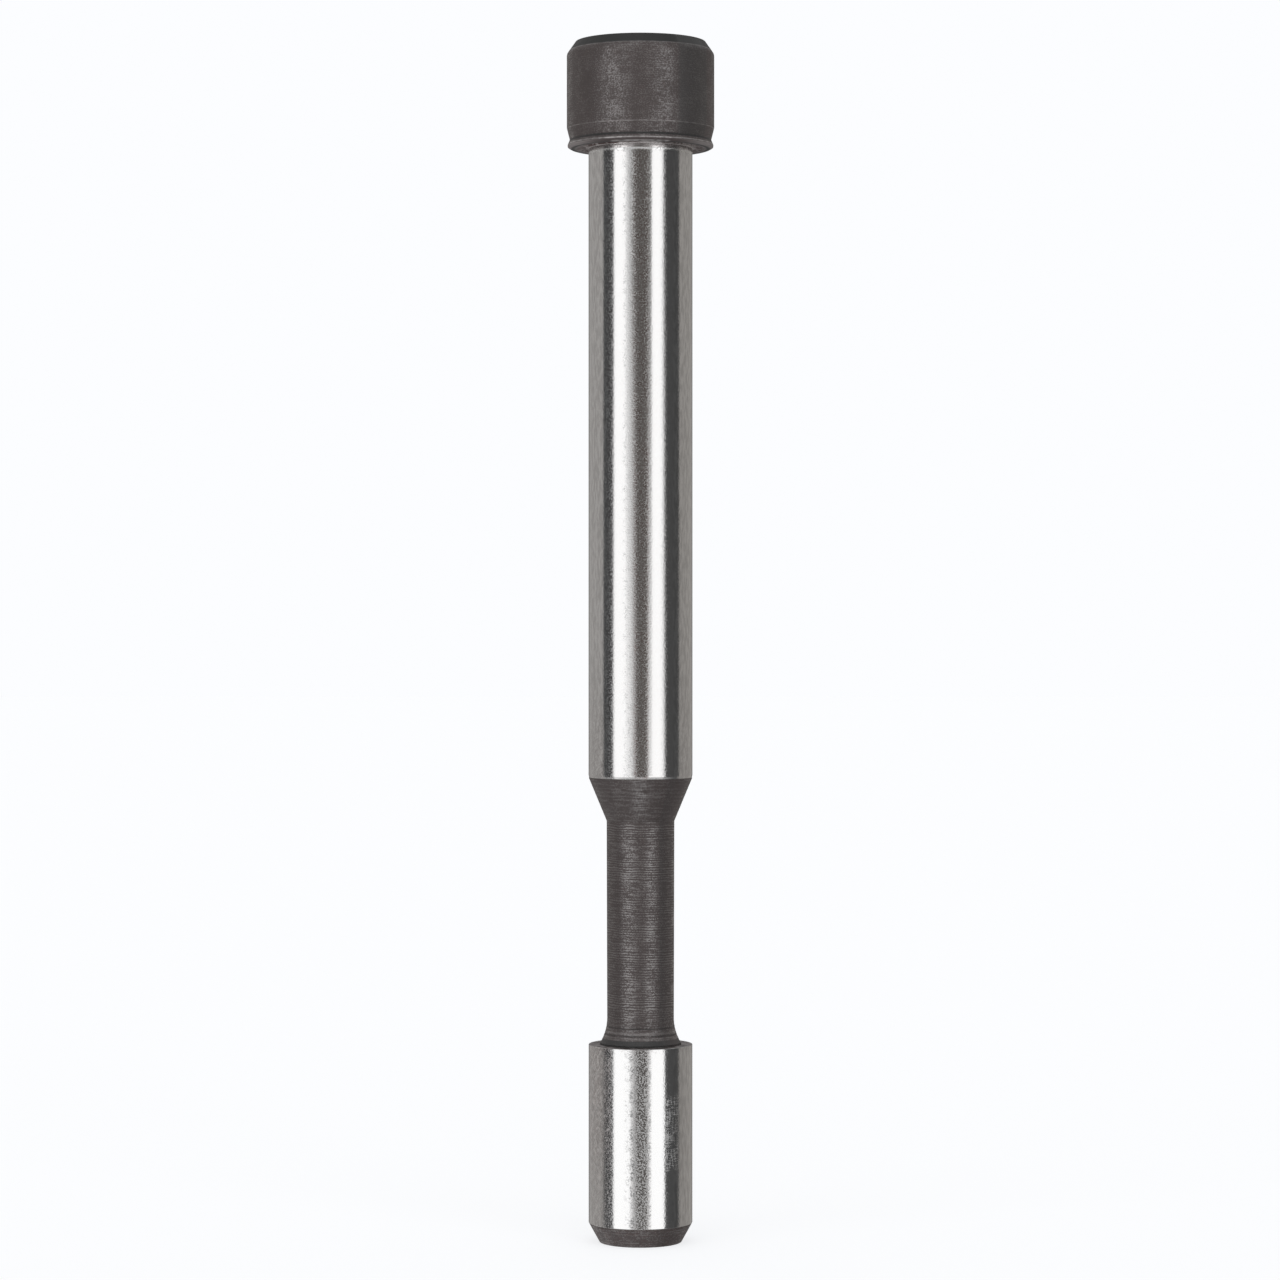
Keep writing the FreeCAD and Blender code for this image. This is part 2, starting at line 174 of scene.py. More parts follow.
class Shader:
    """A shader tree being built, of a material or of the world."""

    def __init__(self, owner):
        owner.use_nodes = True
        self.tree = owner.node_tree

    def node(self, kind, settings=None, *inputs, **named):
        """Adds a node: its settings first, then values, Fields or sockets for its inputs."""
        node = self.tree.nodes.new(kind)
        for setting, value in (settings or {}).items():
            setattr(node, setting, value)
        for key, value in [*enumerate(inputs), *named.items()]:
            self.feed(node.inputs[key], value)
        return node

    def feed(self, socket, value):
        source = value.socket if isinstance(value, Field) else value
        if isinstance(source, bpy.types.NodeSocket):
            self.tree.links.new(source, socket)
        else:
            socket.default_value = source

    def mixed(self, share, first, second):
        """The colour that goes from first to second as share goes from 0 to 1."""
        node = self.node("ShaderNodeMix", {"data_type": "RGBA"})
        for key, value in ((0, share), (6, first), (7, second)):
            self.feed(node.inputs[key], value)
        return node.outputs[2]


class Finish(Shader):
    """A material being built: its Principled shader and the nodes that feed it."""

    def __init__(self, name, **surface):
        self.material = bpy.data.materials.new(name)
        super().__init__(self.material)
        self.principled = self.tree.nodes["Principled BSDF"]
        self.finished(**surface)
        self.place = self.node("ShaderNodeTexCoord").outputs["Object"]
        axes = self.node("ShaderNodeSeparateXYZ", {}, self.place).outputs
        self.height = Field(self, axes[2]) / MM
        right, back = [Field(self, axis) / MM for axis in axes[:2]]
        self.radius = (right * right + back * back).maths("SQRT")
        self.angle = right.maths("ARCTAN2", back * -1.0) * math.degrees(1.0)

    def grains(self, place, detail):
        """Noise at the place that a node gives, one grain a unit."""
        place = place.outputs[0]
        noise = self.node("ShaderNodeTexNoise", {}, Vector=place, Scale=1.0, Detail=detail)
        return Field(self, noise.outputs[0])

    def noise(self, across, along, detail=2.0, shift=0.0):
        """Noise whose grains are that many millimetres across the axis and along it."""
        grain = (1 / (across * MM), 1 / (across * MM), 1 / (along * MM))
        settings = {"operation": "MULTIPLY_ADD"}
        place = self.node("ShaderNodeVectorMath", settings, self.place, grain, (shift,) * 3)
        return self.grains(place, detail)

    def scratches(self, radius, rise, length, width, shift=0.0):
        """Noise drawn out along a line that climbs at rise degrees, on the surface unrolled."""
        arc = self.angle * math.radians(radius)
        slope = math.radians(rise)
        along = arc * math.cos(slope) + self.height * math.sin(slope)
        across = self.height * math.cos(slope) - arc * math.sin(slope)
        place = self.node("ShaderNodeCombineXYZ", {}, along / length, across / width, shift)
        return self.grains(place, 1.0)

    def facing(self, degrees, reach):
        """1 within reach of that many degrees round from the front."""
        away = (self.angle - degrees).maths("ABSOLUTE")
        return away.between(reach + 2.0, reach - 2.0)

    def attribute(self, name):
        """A number that Geometry Nodes stored on the piece under that name."""
        node = self.node("ShaderNodeAttribute", {"attribute_name": name})
        return Field(self, node.outputs["Fac"])

    def bump(self, height, depth, under=None):
        """A normal roughened by height, which stands for depth millimetres at 1."""
        node = self.node("ShaderNodeBump", {}, Height=height, Distance=depth * MM)
        if under:
            self.feed(node.inputs["Normal"], under)
        return node.outputs[0]

    def finished(self, **surface):
        """Feeds the Principled shader's sockets, named with _ for a space."""
        for socket, value in surface.items():
            self.feed(self.principled.inputs[socket.replace("_", " ")], value)
        return self.material


# =========================================================================== finishes
def grey(level, warmth=0.0):
    """An RGBA grey, a little redder and less blue with warmth."""
    return (level * (1 + warmth), level, level * (1 - warmth), 1.0)


def brown(level, warmth=0.2):
    """An RGBA colour of that level with the red of a browned oxide."""
    return (level * (1 + warmth), level, level * (1 - warmth * 0.1), 1.0)


class BlackOxide(Finish):
    """Blackened turned steel: cloudy brown-black, and barer on its grit and its turned crests."""

    def __init__(self, name, shade=1.0, lined=1.0):
        super().__init__(name, Coat_Roughness=0.31, Coat_IOR=1.95)
        self.lined = lined
        self.crest = brown(0.44, 0.05)
        self.rough = 0.55
        self.cloud = self.noise(2.2, 2.6, detail=4.0, shift=7.0)
        self.grit = self.noise(0.22, 0.17, detail=1.0, shift=3.0)
        self.lines = self.noise(2.4, 0.17, detail=2.0)
        cut = self.attribute("cut")
        glints = self.grit + self.lines * 0.6 * lined + self.cloud * 0.45 + cut * 0.15 * lined
        middle = 0.72 + 0.3 * lined
        self.glints = glints.between(middle - 0.08, middle + 0.26)
        self.bare = (self.glints + cut) * 0.03 * lined
        rust = self.noise(1.1, 0.8, detail=3.0, shift=21.0).between(0.55, 0.75)
        self.tint = self.mixed(self.cloud, brown(0.078 * shade), brown(0.096 * shade))
        self.tint = self.mixed(rust * 0.3, self.tint, brown(0.1 * shade, 0.3))

    def smooth(self, low, high, level=0.05):
        """Leaves it smooth black between two heights."""
        middle, reach = (low + high) / 2, (high - low) / 2
        away = (self.height - middle).maths("ABSOLUTE")
        self.plain(away.between(reach + 0.08, reach - 0.08), level)

    def plain(self, where, level):
        """Leaves it without glints and at a plain grey level, as far as where is 1: smooth bands, painted shade on
        shaded sides and under the knob, and painted light on the collar's lip.
        """
        self.glints = self.glints * (1.0 - where)
        self.tint = self.mixed(where, self.tint, grey(level))

    def soften(self, where, share):
        """Takes away that share of its glints, as far as where is 1."""
        self.glints = self.glints * (1.0 - where * share)

    def faced(self, height, radius):
        """Leaves rings from the facing tool on the end face at a height, inside a radius."""
        rings = self.node("ShaderNodeCombineXYZ", {}, self.radius / 0.16, self.cloud * 3.0, 2.0)
        rings = self.grains(rings, 2.0).between(0.42, 0.66)
        face = self.height.near(height, 0.06).between(0.1, 0.5)
        face = face * self.radius.between(radius, radius - 0.1)
        self.glints = self.glints * (1.0 - face) + face * rings * 0.8
        self.tint = self.mixed(face * rings * 0.4, self.tint, brown(0.11))

    def groove(self, height, reach):
        """Darkens the rings round a height, in patches: painted shade in the turned grooves."""
        patchy = self.noise(1.8, 0.6, detail=2.0, shift=13.0).between(0.35, 0.6)
        dark = self.height.near(height, reach) * (patchy * 0.6 + 0.2)
        self.glints = self.glints * (1.0 - dark)
        self.tint = self.mixed(dark * 0.8, self.tint, grey(0.025))

    def rub(self, height, reach, share, where=1.0, shift=0.0):
        """Makes a band bare and bright at a height, as far as where is 1: rubbed wear on some edges, a painted
        highlight on others.
        """
        patchy = self.noise(0.8, 0.8, detail=2.0, shift=11.0 + shift).between(0.35, 0.65)
        rub = self.height.near(height, reach) * (patchy * 0.6 + 0.4) * share * where
        self.bare = self.bare.maths("MAXIMUM", rub)

    def done(self):
        self.bare = self.bare.maths("MINIMUM", 1.0)
        tint = self.mixed(self.bare, self.tint, self.crest)
        normal = self.bump(self.lines, 0.006 * self.lined)
        normal = self.bump(self.grit, 0.004, normal)
        return self.finished(
            Base_Color=tint,
            Metallic=self.bare * 0.65 + 0.35,
            Roughness=self.bare * -0.34 + self.rough,
            Coat_Weight=self.glints,
            Normal=normal,
        )


class GroundSteel(Finish):
    """Bright steel, ground outside at a radius; the bore and the end faces keep their oxide."""

    def __init__(self, name, radius, dapple=1.0, stain=0.28):
        super().__init__(name)
        self.stain = brown(0.26, stain)
        self.grain = self.noise(0.24, 0.24, detail=1.0, shift=4.0).between(0.42, 0.6)
        cloud = self.noise(3.0, 5.0, detail=3.0, shift=9.0)
        self.dapple = dapple
        self.oxide = self.radius.between(radius - GROUND_EDGE, radius - GROUND_EDGE - 0.05)
        sides = self.angle.maths("ABSOLUTE").between(34.0, 42.0)
        drawn = self.noise(0.5, 1.6, detail=3.0, shift=13.0).between(0.35, 0.65)
        self.tint = self.mixed((drawn - 0.5) * sides + 0.5, grey(0.48, 0.004), grey(0.6, 0.002))
        self.rough = cloud * 0.02 + 0.09

    def speckle(self, where, rough):
        """Roughens the grain, as far as where is 1."""
        self.rough = self.rough + self.grain * where * rough

    def fleck(self, where, share):
        """Darkens what lies between the grains, as far as where is 1."""
        between = 1.0 - self.grain
        self.tint = self.mixed(between * where * share, self.tint, self.stain)

    def mark(self, where, level, warmth, rough):
        """Marks the steel, as far as where is 1: tinted towards a brown and roughened."""
        self.tint = self.mixed(where, self.tint, brown(level, warmth))
        self.rough = self.rough + where * rough

    def done(self):
        pits = self.noise(0.26, 0.24, detail=0.0)
        streak = self.noise(1.6, 0.12, detail=2.0, shift=5.0)
        mottle = self.noise(1.5, 1.5, detail=3.0, shift=31.0).between(0.36, 0.64)
        oxide = self.mixed(mottle, brown(0.08), brown(0.34, 0.08))
        tint = self.mixed(self.oxide, self.tint, oxide)
        normal = self.bump(streak, 0.003)
        normal = self.bump(pits, 0.006 * self.dapple, normal)
        rough = self.rough + self.oxide * 0.32
        return self.finished(
            Base_Color=tint, Metallic=1.0 - self.oxide * 0.5, Roughness=rough, Normal=normal
        )


def shank_steel():
    """The shank's steel, with brown specks just under the flange, where the wheel ran out, and a painted highlight
    round its top edge, brightest at the front.
    """
    steel = GroundSteel("shank_ground_steel", shank_radius - WORN_EDGE)
    patches = steel.noise(0.7, 1.0, detail=2.0, shift=51.0).between(0.4, 0.6)
    middle = steel.facing(0.5, 8.0)
    steel.speckle(1.0, 0.06)
    steel.speckle(middle * (patches * 0.6 + 0.7), 0.09)
    steel.speckle(steel.facing(-37.0, 5.0), 0.08)
    steel.speckle(steel.facing(-13.0, 7.0) * patches, 0.24)
    steel.speckle(steel.facing(25.5, 4.0), 0.08)
    steel.fleck(middle * (patches * 0.5 + 0.5), 0.62)
    steel.fleck(steel.facing(-36.0, 4.0), 0.3)
    steel.fleck(steel.facing(-22.0, 60.0), 0.08)
    fine = steel.noise(0.3, 0.26, detail=2.0, shift=2.0)
    climb = steel.height.between(stub_bottom - 1.0, stub_bottom + 0.1)
    steel.mark((fine + climb * 0.2).between(0.6, 0.72) * climb * 0.8, 0.2, 0.12, 0.2)
    # Painted highlight: a pale band round the shank's top edge, paler still at the front.
    ring = steel.height.near(stub_bottom - 0.05, 0.42)
    steel.mark(ring, 0.85, 0.0, 0.16)
    steel.mark(ring * steel.facing(0.0, 11.0), 0.95, 0.0, 0.4)
    scuffs_and_painted_light = steel.height.between(cone_top + 22.0, cone_top)
    for index, rise in enumerate((30.0, -58.0)):
        scratch = steel.scratches(shank_radius, rise, 1.2, 0.2, shift=25.0 + index)
        scratch = scratch.between(0.5, 0.6) * scuffs_and_painted_light
        steel.mark(scratch * steel.facing(-66.0, 22.0) * 0.5, 0.36, 0.05, 0.06)
        steel.mark(scratch * steel.facing(68.0, 18.0) * 0.4, 0.4, 0.05, 0.06)
    return steel.done()


def pilot_steel():
    """The pilot's steel, scuffed where it is pushed into holes and handled."""
    steel = GroundSteel("pilot_ground_steel", pilot_radius, dapple=1.3, stain=0.06)
    length = pilot_top - pilot_bottom
    middle = steel.facing(0.0, 11.0)
    steel.speckle(1.0, 0.06)
    steel.speckle(middle, 0.24)
    steel.speckle(steel.facing(-38.0, 6.0), 0.1)
    steel.fleck(middle, 0.45)
    patches = steel.noise(0.75, 0.9, detail=2.0, shift=51.0).between(0.4, 0.6)
    steel.speckle(middle * patches, 0.3)
    steel.fleck(steel.facing(1.0, 8.0) * (1.0 - patches), 0.4)
    steel.speckle(steel.facing(-12.0, 6.0) * patches, 0.22)
    steel.fleck(steel.facing(-35.0, 5.0), 0.3)
    drawn = steel.scratches(pilot_radius, 90.0, 2.2, 0.24, shift=9.0).between(0.48, 0.58)
    steel.mark(drawn * steel.facing(-43.0, 7.0) * 0.35, 0.5, 0.0, 0.2)
    steel.mark(drawn * steel.facing(64.0, 18.0) * 0.2, 0.4, 0.05, 0.02)
    rubbed = steel.facing(38.0, 9.0)
    rubbed = rubbed * steel.height.between(pilot_bottom + length * 0.3, pilot_bottom + length * 0.36)
    rubbed = rubbed * steel.height.between(pilot_bottom + length * 0.76, pilot_bottom + length * 0.7)
    for index, (rise, gap) in enumerate(((0.0, 0.2), (90.0, 0.3))):
        dashes = steel.scratches(pilot_radius, rise, 1.6, gap, shift=3.0 + index)
        steel.mark(rubbed * dashes.between(0.5, 0.58) * 0.75, 0.55, 0.0, 0.26)
    handled = steel.facing(-60.0, 26.0)
    handled = handled * (steel.height.between(pilot_bottom, pilot_top - length * 0.3) * 0.6 + 0.4)
    for index, rise in enumerate((38.0, -52.0, 64.0)):
        scratch = steel.scratches(pilot_radius, rise, 1.2, 0.14, shift=5.0 + index)
        steel.mark(scratch.between(0.54, 0.62) * handled * 0.8, 0.7, 0.05, 0.1)
        scratch = steel.scratches(pilot_radius, rise + 8.0, 1.0, 0.2, shift=35.0 + index)
        steel.mark(scratch.between(0.52, 0.62) * handled * 0.5, 0.28, 0.08, 0.1)
    mottle = steel.noise(0.7, 0.6, detail=3.0, shift=15.0).between(0.46, 0.58)
    steel.mark(mottle * handled * 0.4, 0.31, 0.08, 0.06)
    stains = steel.noise(0.7, 0.6, detail=3.0, shift=17.0).between(0.5, 0.6)
    steel.mark(stains * steel.height.between(pilot_top - 1.0, pilot_top) * 0.35, 0.2, 0.12, 0.1)
    return steel.done()


def collar_finish():
    """The collar's oxide, ground through on the stub; the bright lines on the rim and round the front of the boss
    are painted highlights, the dark band under the knob is painted shadow, and the bevel's lighter sides are
    painted light.
    """
    finish = BlackOxide("collar_black_oxide", lined=0.5)
    finish.crest = brown(0.6, 0.04)
    boss_radius = shank_radius + BOSS_WIDTH
    # Painted shadow: a dark band on the flange's top, in the gap under the knob.
    finish.plain(finish.height.near(flange_top - 0.2, 0.35), 0.035)
    # Painted highlights: a bright line along the rim's upper edge, and one round the boss at the front only.
    finish.rub(flange_bottom + 0.27, 0.15, 0.85)
    finish.rub(boss_bottom, 0.16, 1.0, where=finish.facing(0.0, 24.0), shift=1.0)
    speckle = finish.noise(0.3, 0.26, detail=2.0, shift=2.0).between(0.6, 0.5)
    stub = finish.height.between(boss_bottom + 0.02, boss_bottom - 0.06)
    stub = stub * finish.radius.between(shank_radius - 0.1, shank_radius - 0.06)
    stub = stub * finish.radius.between(boss_radius + BOSS_WIDTH, boss_radius)
    finish.bare = finish.bare.maths("MAXIMUM", stub * (speckle * 0.35 + 0.65))
    mottle = finish.noise(0.7, 0.7, detail=4.0, shift=23.0).between(0.42, 0.58)
    outside = finish.radius.between(flange_radius - 1.7, flange_radius - 1.1)
    below = finish.height.between(flange_bottom + 0.1, flange_bottom) * (1.0 - outside)
    underside = finish.height.between(flange_bottom + 0.16, flange_bottom + 0.06)
    lip = underside * outside
    # Painted light: the lip is set to a plain, lighter grey without glints.
    finish.plain(lip, 0.1)
    bevel = lip * finish.height.between(flange_bottom - 0.36, flange_bottom - 0.24)
    # Painted light: the lip's bevel is painted lighter towards the sides.
    painted_light_sides = finish.angle.maths("ABSOLUTE").between(28.0, 62.0)
    scuffs_and_painted_light = finish.mixed(painted_light_sides, brown(0.13), brown(0.38, 0.1))
    finish.tint = finish.mixed(bevel, finish.tint, scuffs_and_painted_light)
    dish = underside * finish.radius.between(boss_radius, boss_radius + 0.2)
    finish.rough = dish * 0.3 + 0.55
    finish.soften(dish, 0.8)
    worn = finish.mixed(mottle, brown(0.15), brown(0.46, 0.1))
    finish.tint = finish.mixed(below, finish.tint, worn)
    finish.soften(below, 0.7)
    rust = finish.noise(0.9, 0.5, detail=3.0, shift=27.0).between(0.36, 0.5)
    near = below * finish.radius.between(flange_radius - 1.0, shank_radius + 0.6)
    near = near * (finish.facing(-35.0, 35.0) * 0.7 + 0.3)
    finish.tint = finish.mixed(rust * near, finish.tint, brown(0.06, 0.7))
    finish.soften(near, 0.8)
    return finish.done()


def bright_metal(name, colour, dull, rough=0.3):
    """Turned brass, bronze, zinc or nickel, a little stained."""
    finish = Finish(name, Metallic=1.0)
    stain = finish.noise(1.4, 1.4, detail=4.0)
    lines = finish.noise(5.0, 0.1, detail=2.0, shift=4.0)
    shade = finish.mixed(stain.between(0.4, 0.75), (*colour, 1.0), (*dull, 1.0))
    normal = finish.bump(lines, 0.006)
    return finish.finished(Base_Color=shade, Roughness=stain * 0.2 + rough, Normal=normal)


# ========================================================================= turned pieces
class Section:
    """The closed section of a turned piece, drawn anticlockwise as (radius, height) corners."""

    def __init__(self, radius, height, edge=EDGE):
        self.corners = []
        self.to(radius, height, edge)

    def to(self, radius, height, edge=EDGE):
        """A straight line to a corner that is broken by edge."""
        self.corners.append((Vector((radius, height)), edge))
        return self

    def hollow(self, radius, height, arc_radius):
        """An arc of arc_radius, hollow on the outside, that ends upright at that point."""
        centre = Vector((radius + arc_radius, height))
        start = self.corners[-1][0] - centre
        first = math.atan2(start.y, start.x)
        sweep = -math.pi - first if first < 0 else math.pi - first
        for step in range(1, HOLLOW_STEPS + 1):
            turn = first + sweep * step / HOLLOW_STEPS
            arm = Vector((math.cos(turn), math.sin(turn)))
            point = centre + arm * arc_radius
            self.to(point.x, point.y, 0.0)
        return self

    def rounded(self):
        """The section's points with every corner broken by its arc."""
        points = []
        count = len(self.corners)
        for index, (corner, edge) in enumerate(self.corners):
            before = (self.corners[index - 1][0] - corner).normalized()
            after = (self.corners[(index + 1) % count][0] - corner).normalized()
            half = before.angle(after) / 2
            if edge == 0.0 or math.degrees(half) > 88:
                points.append(corner)
                continue
            reach = edge / math.tan(half)
            centre = corner + (before + after).normalized() * (edge / math.sin(half))
            start = corner + before * reach - centre
            end = corner + after * reach - centre
            points.append(corner + before * reach * 1.5)
            for step in range(ARC_STEPS + 1):
                points.append(centre + start.slerp(end, step / ARC_STEPS) * edge)
            points.append(corner + after * reach * 1.5)
        return points

    def rows(self, marked):
        """The rounded points with more of them along the straights, most within marked heights."""
        rows = []
        points = self.rounded()
        for point, after in zip(points, points[1:] + points[:1]):
            outside = after.y > point.y
            middle = (point.y + after.y) / 2
            fine = marked and outside and marked[0] < middle < marked[1]
            step = MARKED_ROW if fine else ROW
            count = max(1, round((after - point).length / step))
            rows.extend(point.lerp(after, share / count) for share in range(count))
        return rows


class Tree:
    """A Geometry Nodes group being built, with named inputs."""

    def __init__(self, name, **inputs):
        self.group = bpy.data.node_groups.new(name, "GeometryNodeTree")
        sockets = self.group.interface
        sockets.new_socket("Geometry", in_out="INPUT", socket_type="NodeSocketGeometry")
        for label, kind in inputs.items():
            sockets.new_socket(label, in_out="INPUT", socket_type="NodeSocket" + kind)
        sockets.new_socket("Geometry", in_out="OUTPUT", socket_type="NodeSocketGeometry")
        self.inputs = self.group.nodes.new("NodeGroupInput").outputs

    def node(self, kind, settings=None, **inputs):
        """Adds a node. An input is named with _ for a space, or by its number as _0."""
        node = self.group.nodes.new(kind)
        for setting, value in (settings or {}).items():
            setattr(node, setting, value)
        for label, value in inputs.items():
            key = int(label[1:]) if label[1:].isdigit() else label.replace("_", " ")
            if isinstance(value, bpy.types.NodeSocket):
                self.group.links.new(value, node.inputs[key])
            else:
                node.inputs[key].default_value = value
        return node

    def maths(self, operation, first, second=0.0):
        return self.node("ShaderNodeMath", {"operation": operation}, _0=first, _1=second).outputs[0]

    def ends(self, geometry):
        """Realizes what the tree made, gives it its finish and sends it out."""
        real = self.node("GeometryNodeRealizeInstances", Geometry=geometry).outputs[0]
        done = self.node("GeometryNodeSetMaterial", Geometry=real, Material=self.inputs["Finish"])
        out = self.group.nodes.new("NodeGroupOutput")
        self.group.links.new(done.outputs[0], out.inputs[0])
        return self.group


def lathe_tree():
    """Carries a section round the axis. Its inputs are the number of segments and the finish."""
    tree = Tree("lathe", Segments="Int", Finish="Material")
    rail = tree.node(
        "GeometryNodeCurvePrimitiveCircle",
        Resolution=tree.inputs["Segments"],
        Radius=RAIL_RADIUS * MM,
    )
    swept = tree.node(
        "GeometryNodeCurveToMesh", Curve=rail.outputs[0], Profile_Curve=tree.inputs["Geometry"]
    )
    smooth = tree.node("GeometryNodeSetShadeSmooth", Geometry=swept.outputs[0])
    return tree.ends(smooth.outputs[0])


def marks_tree():
    """Cuts helical turning marks between two heights: a wave of pitch Feed, deeper and shallower."""
    tree = Tree(
        "turning_marks",
        Feed="Float",
        Depth="Float",
        Rub="Float",
        Low="Float",
        High="Float",
        Seed="Float",
        Finish="Material",
    )
    place = tree.node("GeometryNodeInputPosition").outputs[0]
    axes = tree.node("ShaderNodeSeparateXYZ", Vector=place).outputs
    turn = tree.maths("ARCTAN2", axes[1], axes[0])
    turns = tree.maths("DIVIDE", turn, 2 * math.pi)
    laps = tree.maths("DIVIDE", axes[2], tree.inputs["Feed"])
    wander = tree.node(
        "ShaderNodeTexNoise",
        {"noise_dimensions": "1D"},
        W=tree.maths("ADD", tree.maths("MULTIPLY", laps, MARK_WANDER), tree.inputs["Seed"]),
        Scale=1.0,
        Detail=2.0,
    ).outputs[0]
    chatter = tree.node("ShaderNodeTexNoise", Vector=place, Scale=MARK_CHATTER, Detail=1.0).outputs[0]
    wander = tree.maths("ADD", wander, tree.maths("MULTIPLY", chatter, 0.8))
    phase = tree.maths("ADD", tree.maths("ADD", laps, turns), wander)
    wave = tree.maths("SINE", tree.maths("MULTIPLY", phase, 2 * math.pi))
    strength = tree.node(
        "ShaderNodeMapRange",
        {"interpolation_type": "SMOOTHSTEP"},
        Value=tree.node(
            "ShaderNodeTexNoise",
            {"noise_dimensions": "1D"},
            W=tree.maths("SUBTRACT", tree.maths("MULTIPLY", laps, MARK_FADING), tree.inputs["Seed"]),
            Scale=1.0,
            Detail=1.0,
        ).outputs[0],
        From_Min=0.32,
        From_Max=0.68,
        To_Min=0.15,
    ).outputs[0]
    inside = tree.maths(
        "MULTIPLY",
        tree.maths("GREATER_THAN", axes[2], tree.inputs["Low"]),
        tree.maths("LESS_THAN", axes[2], tree.inputs["High"]),
    )
    outward = tree.node("GeometryNodeInputNormal").outputs[0]
    flat = tree.node("ShaderNodeCombineXYZ", X=axes[0], Y=axes[1]).outputs[0]
    facing = tree.node("ShaderNodeVectorMath", {"operation": "DOT_PRODUCT"}, _0=outward, _1=flat)
    inside = tree.maths("MULTIPLY", inside, tree.maths("GREATER_THAN", facing.outputs["Value"]))
    cut = tree.maths("MULTIPLY", tree.maths("MULTIPLY", wave, strength), inside)
    depth = tree.maths("MULTIPLY", cut, tree.inputs["Depth"])
    before = tree.node(
        "GeometryNodeInputNamedAttribute", {"data_type": "FLOAT"}, Name="cut"
    ).outputs[0]
    noted = tree.node(
        "GeometryNodeStoreNamedAttribute",
        {"data_type": "FLOAT", "domain": "POINT"},
        Geometry=tree.inputs["Geometry"],
        Name="cut",
        Value=tree.maths("ADD", before, tree.maths("MULTIPLY", cut, tree.inputs["Rub"])),
    ).outputs[0]
    shift = tree.node("ShaderNodeVectorMath", {"operation": "SCALE"}, _0=outward, Scale=depth)
    moved = tree.node("GeometryNodeSetPosition", Geometry=noted, Offset=shift.outputs[0])
    return tree.ends(moved.outputs[0])


def coil_tree():
    """Winds a compression spring up from its foot, with a closed turn at each end."""
    tree = Tree(
        "coil",
        Turns="Float",
        Radius="Float",
        Wire="Float",
        Length="Float",
        Foot="Float",
        Finish="Material",
    )
    turns, wire = tree.inputs["Turns"], tree.inputs["Wire"]
    helix = tree.node(
        "GeometryNodeCurveSpiral",
        Resolution=48,
        Rotations=turns,
        Start_Radius=tree.inputs["Radius"],
        End_Radius=tree.inputs["Radius"],
        Height=tree.inputs["Length"],
    )
    share = tree.node("GeometryNodeSplineParameter").outputs["Factor"]
    turn = tree.maths("MULTIPLY", share, turns)
    last = tree.maths("MAXIMUM", tree.maths("ADD", tree.maths("SUBTRACT", turn, turns), 1.0), 0.0)
    closed = tree.maths("ADD", tree.maths("MINIMUM", turn, 1.0), last)
    close = tree.maths("MULTIPLY", wire, CLOSED_PITCH)
    both_ends = tree.maths("ADD", wire, tree.maths("MULTIPLY", close, 2.0))
    room = tree.maths("SUBTRACT", tree.inputs["Length"], both_ends)
    pitch = tree.maths("DIVIDE", room, tree.maths("SUBTRACT", turns, 2.0))
    opened = tree.maths("MULTIPLY", tree.maths("SUBTRACT", turn, closed), pitch)
    rise = tree.maths("ADD", tree.maths("MULTIPLY", closed, close), opened)
    half_wire = tree.maths("MULTIPLY", wire, 0.5)
    start = tree.maths("ADD", tree.inputs["Foot"], half_wire)
    place = tree.node("GeometryNodeInputPosition").outputs[0]
    axes = tree.node("ShaderNodeSeparateXYZ", Vector=place).outputs
    height = tree.maths("ADD", start, rise)
    wound = tree.node("ShaderNodeCombineXYZ", X=axes[0], Y=axes[1], Z=height).outputs[0]
    path = tree.node("GeometryNodeSetPosition", Geometry=helix.outputs[0], Position=wound)
    round_wire = tree.node("GeometryNodeCurvePrimitiveCircle", Resolution=12, Radius=half_wire)
    swept = tree.node(
        "GeometryNodeCurveToMesh",
        Curve=path.outputs[0],
        Profile_Curve=round_wire.outputs[0],
        Fill_Caps=True,
    )
    smooth = tree.node("GeometryNodeSetShadeSmooth", Geometry=swept.outputs[0])
    return tree.ends(smooth.outputs[0])


LATHE = lathe_tree()
MARKS = marks_tree()
COIL = coil_tree()


def add_nodes(piece, group, **values):
    """Puts a Geometry Nodes modifier on the piece and sets its inputs by identifier."""
    modifier = piece.modifiers.new(group.name, "NODES")
    modifier.node_group = group
    for item in group.interface.items_tree:
        if item.in_out == "INPUT" and item.name in values:
            modifier[item.identifier] = values[item.name]


def placed(name, data):
    """A new object of that name in the scene, for a mesh, a curve or a camera."""
    piece = bpy.data.objects.new(name, data)
    bpy.context.scene.collection.objects.link(piece)
    return piece


def as_mesh(piece):
    """Turns the evaluated piece into a plain mesh object of the same name."""
    graph = bpy.context.evaluated_depsgraph_get()
    mesh = bpy.data.meshes.new_from_object(piece.evaluated_get(graph))
    name = piece.name
    bpy.data.objects.remove(piece)
    return placed(name, mesh)


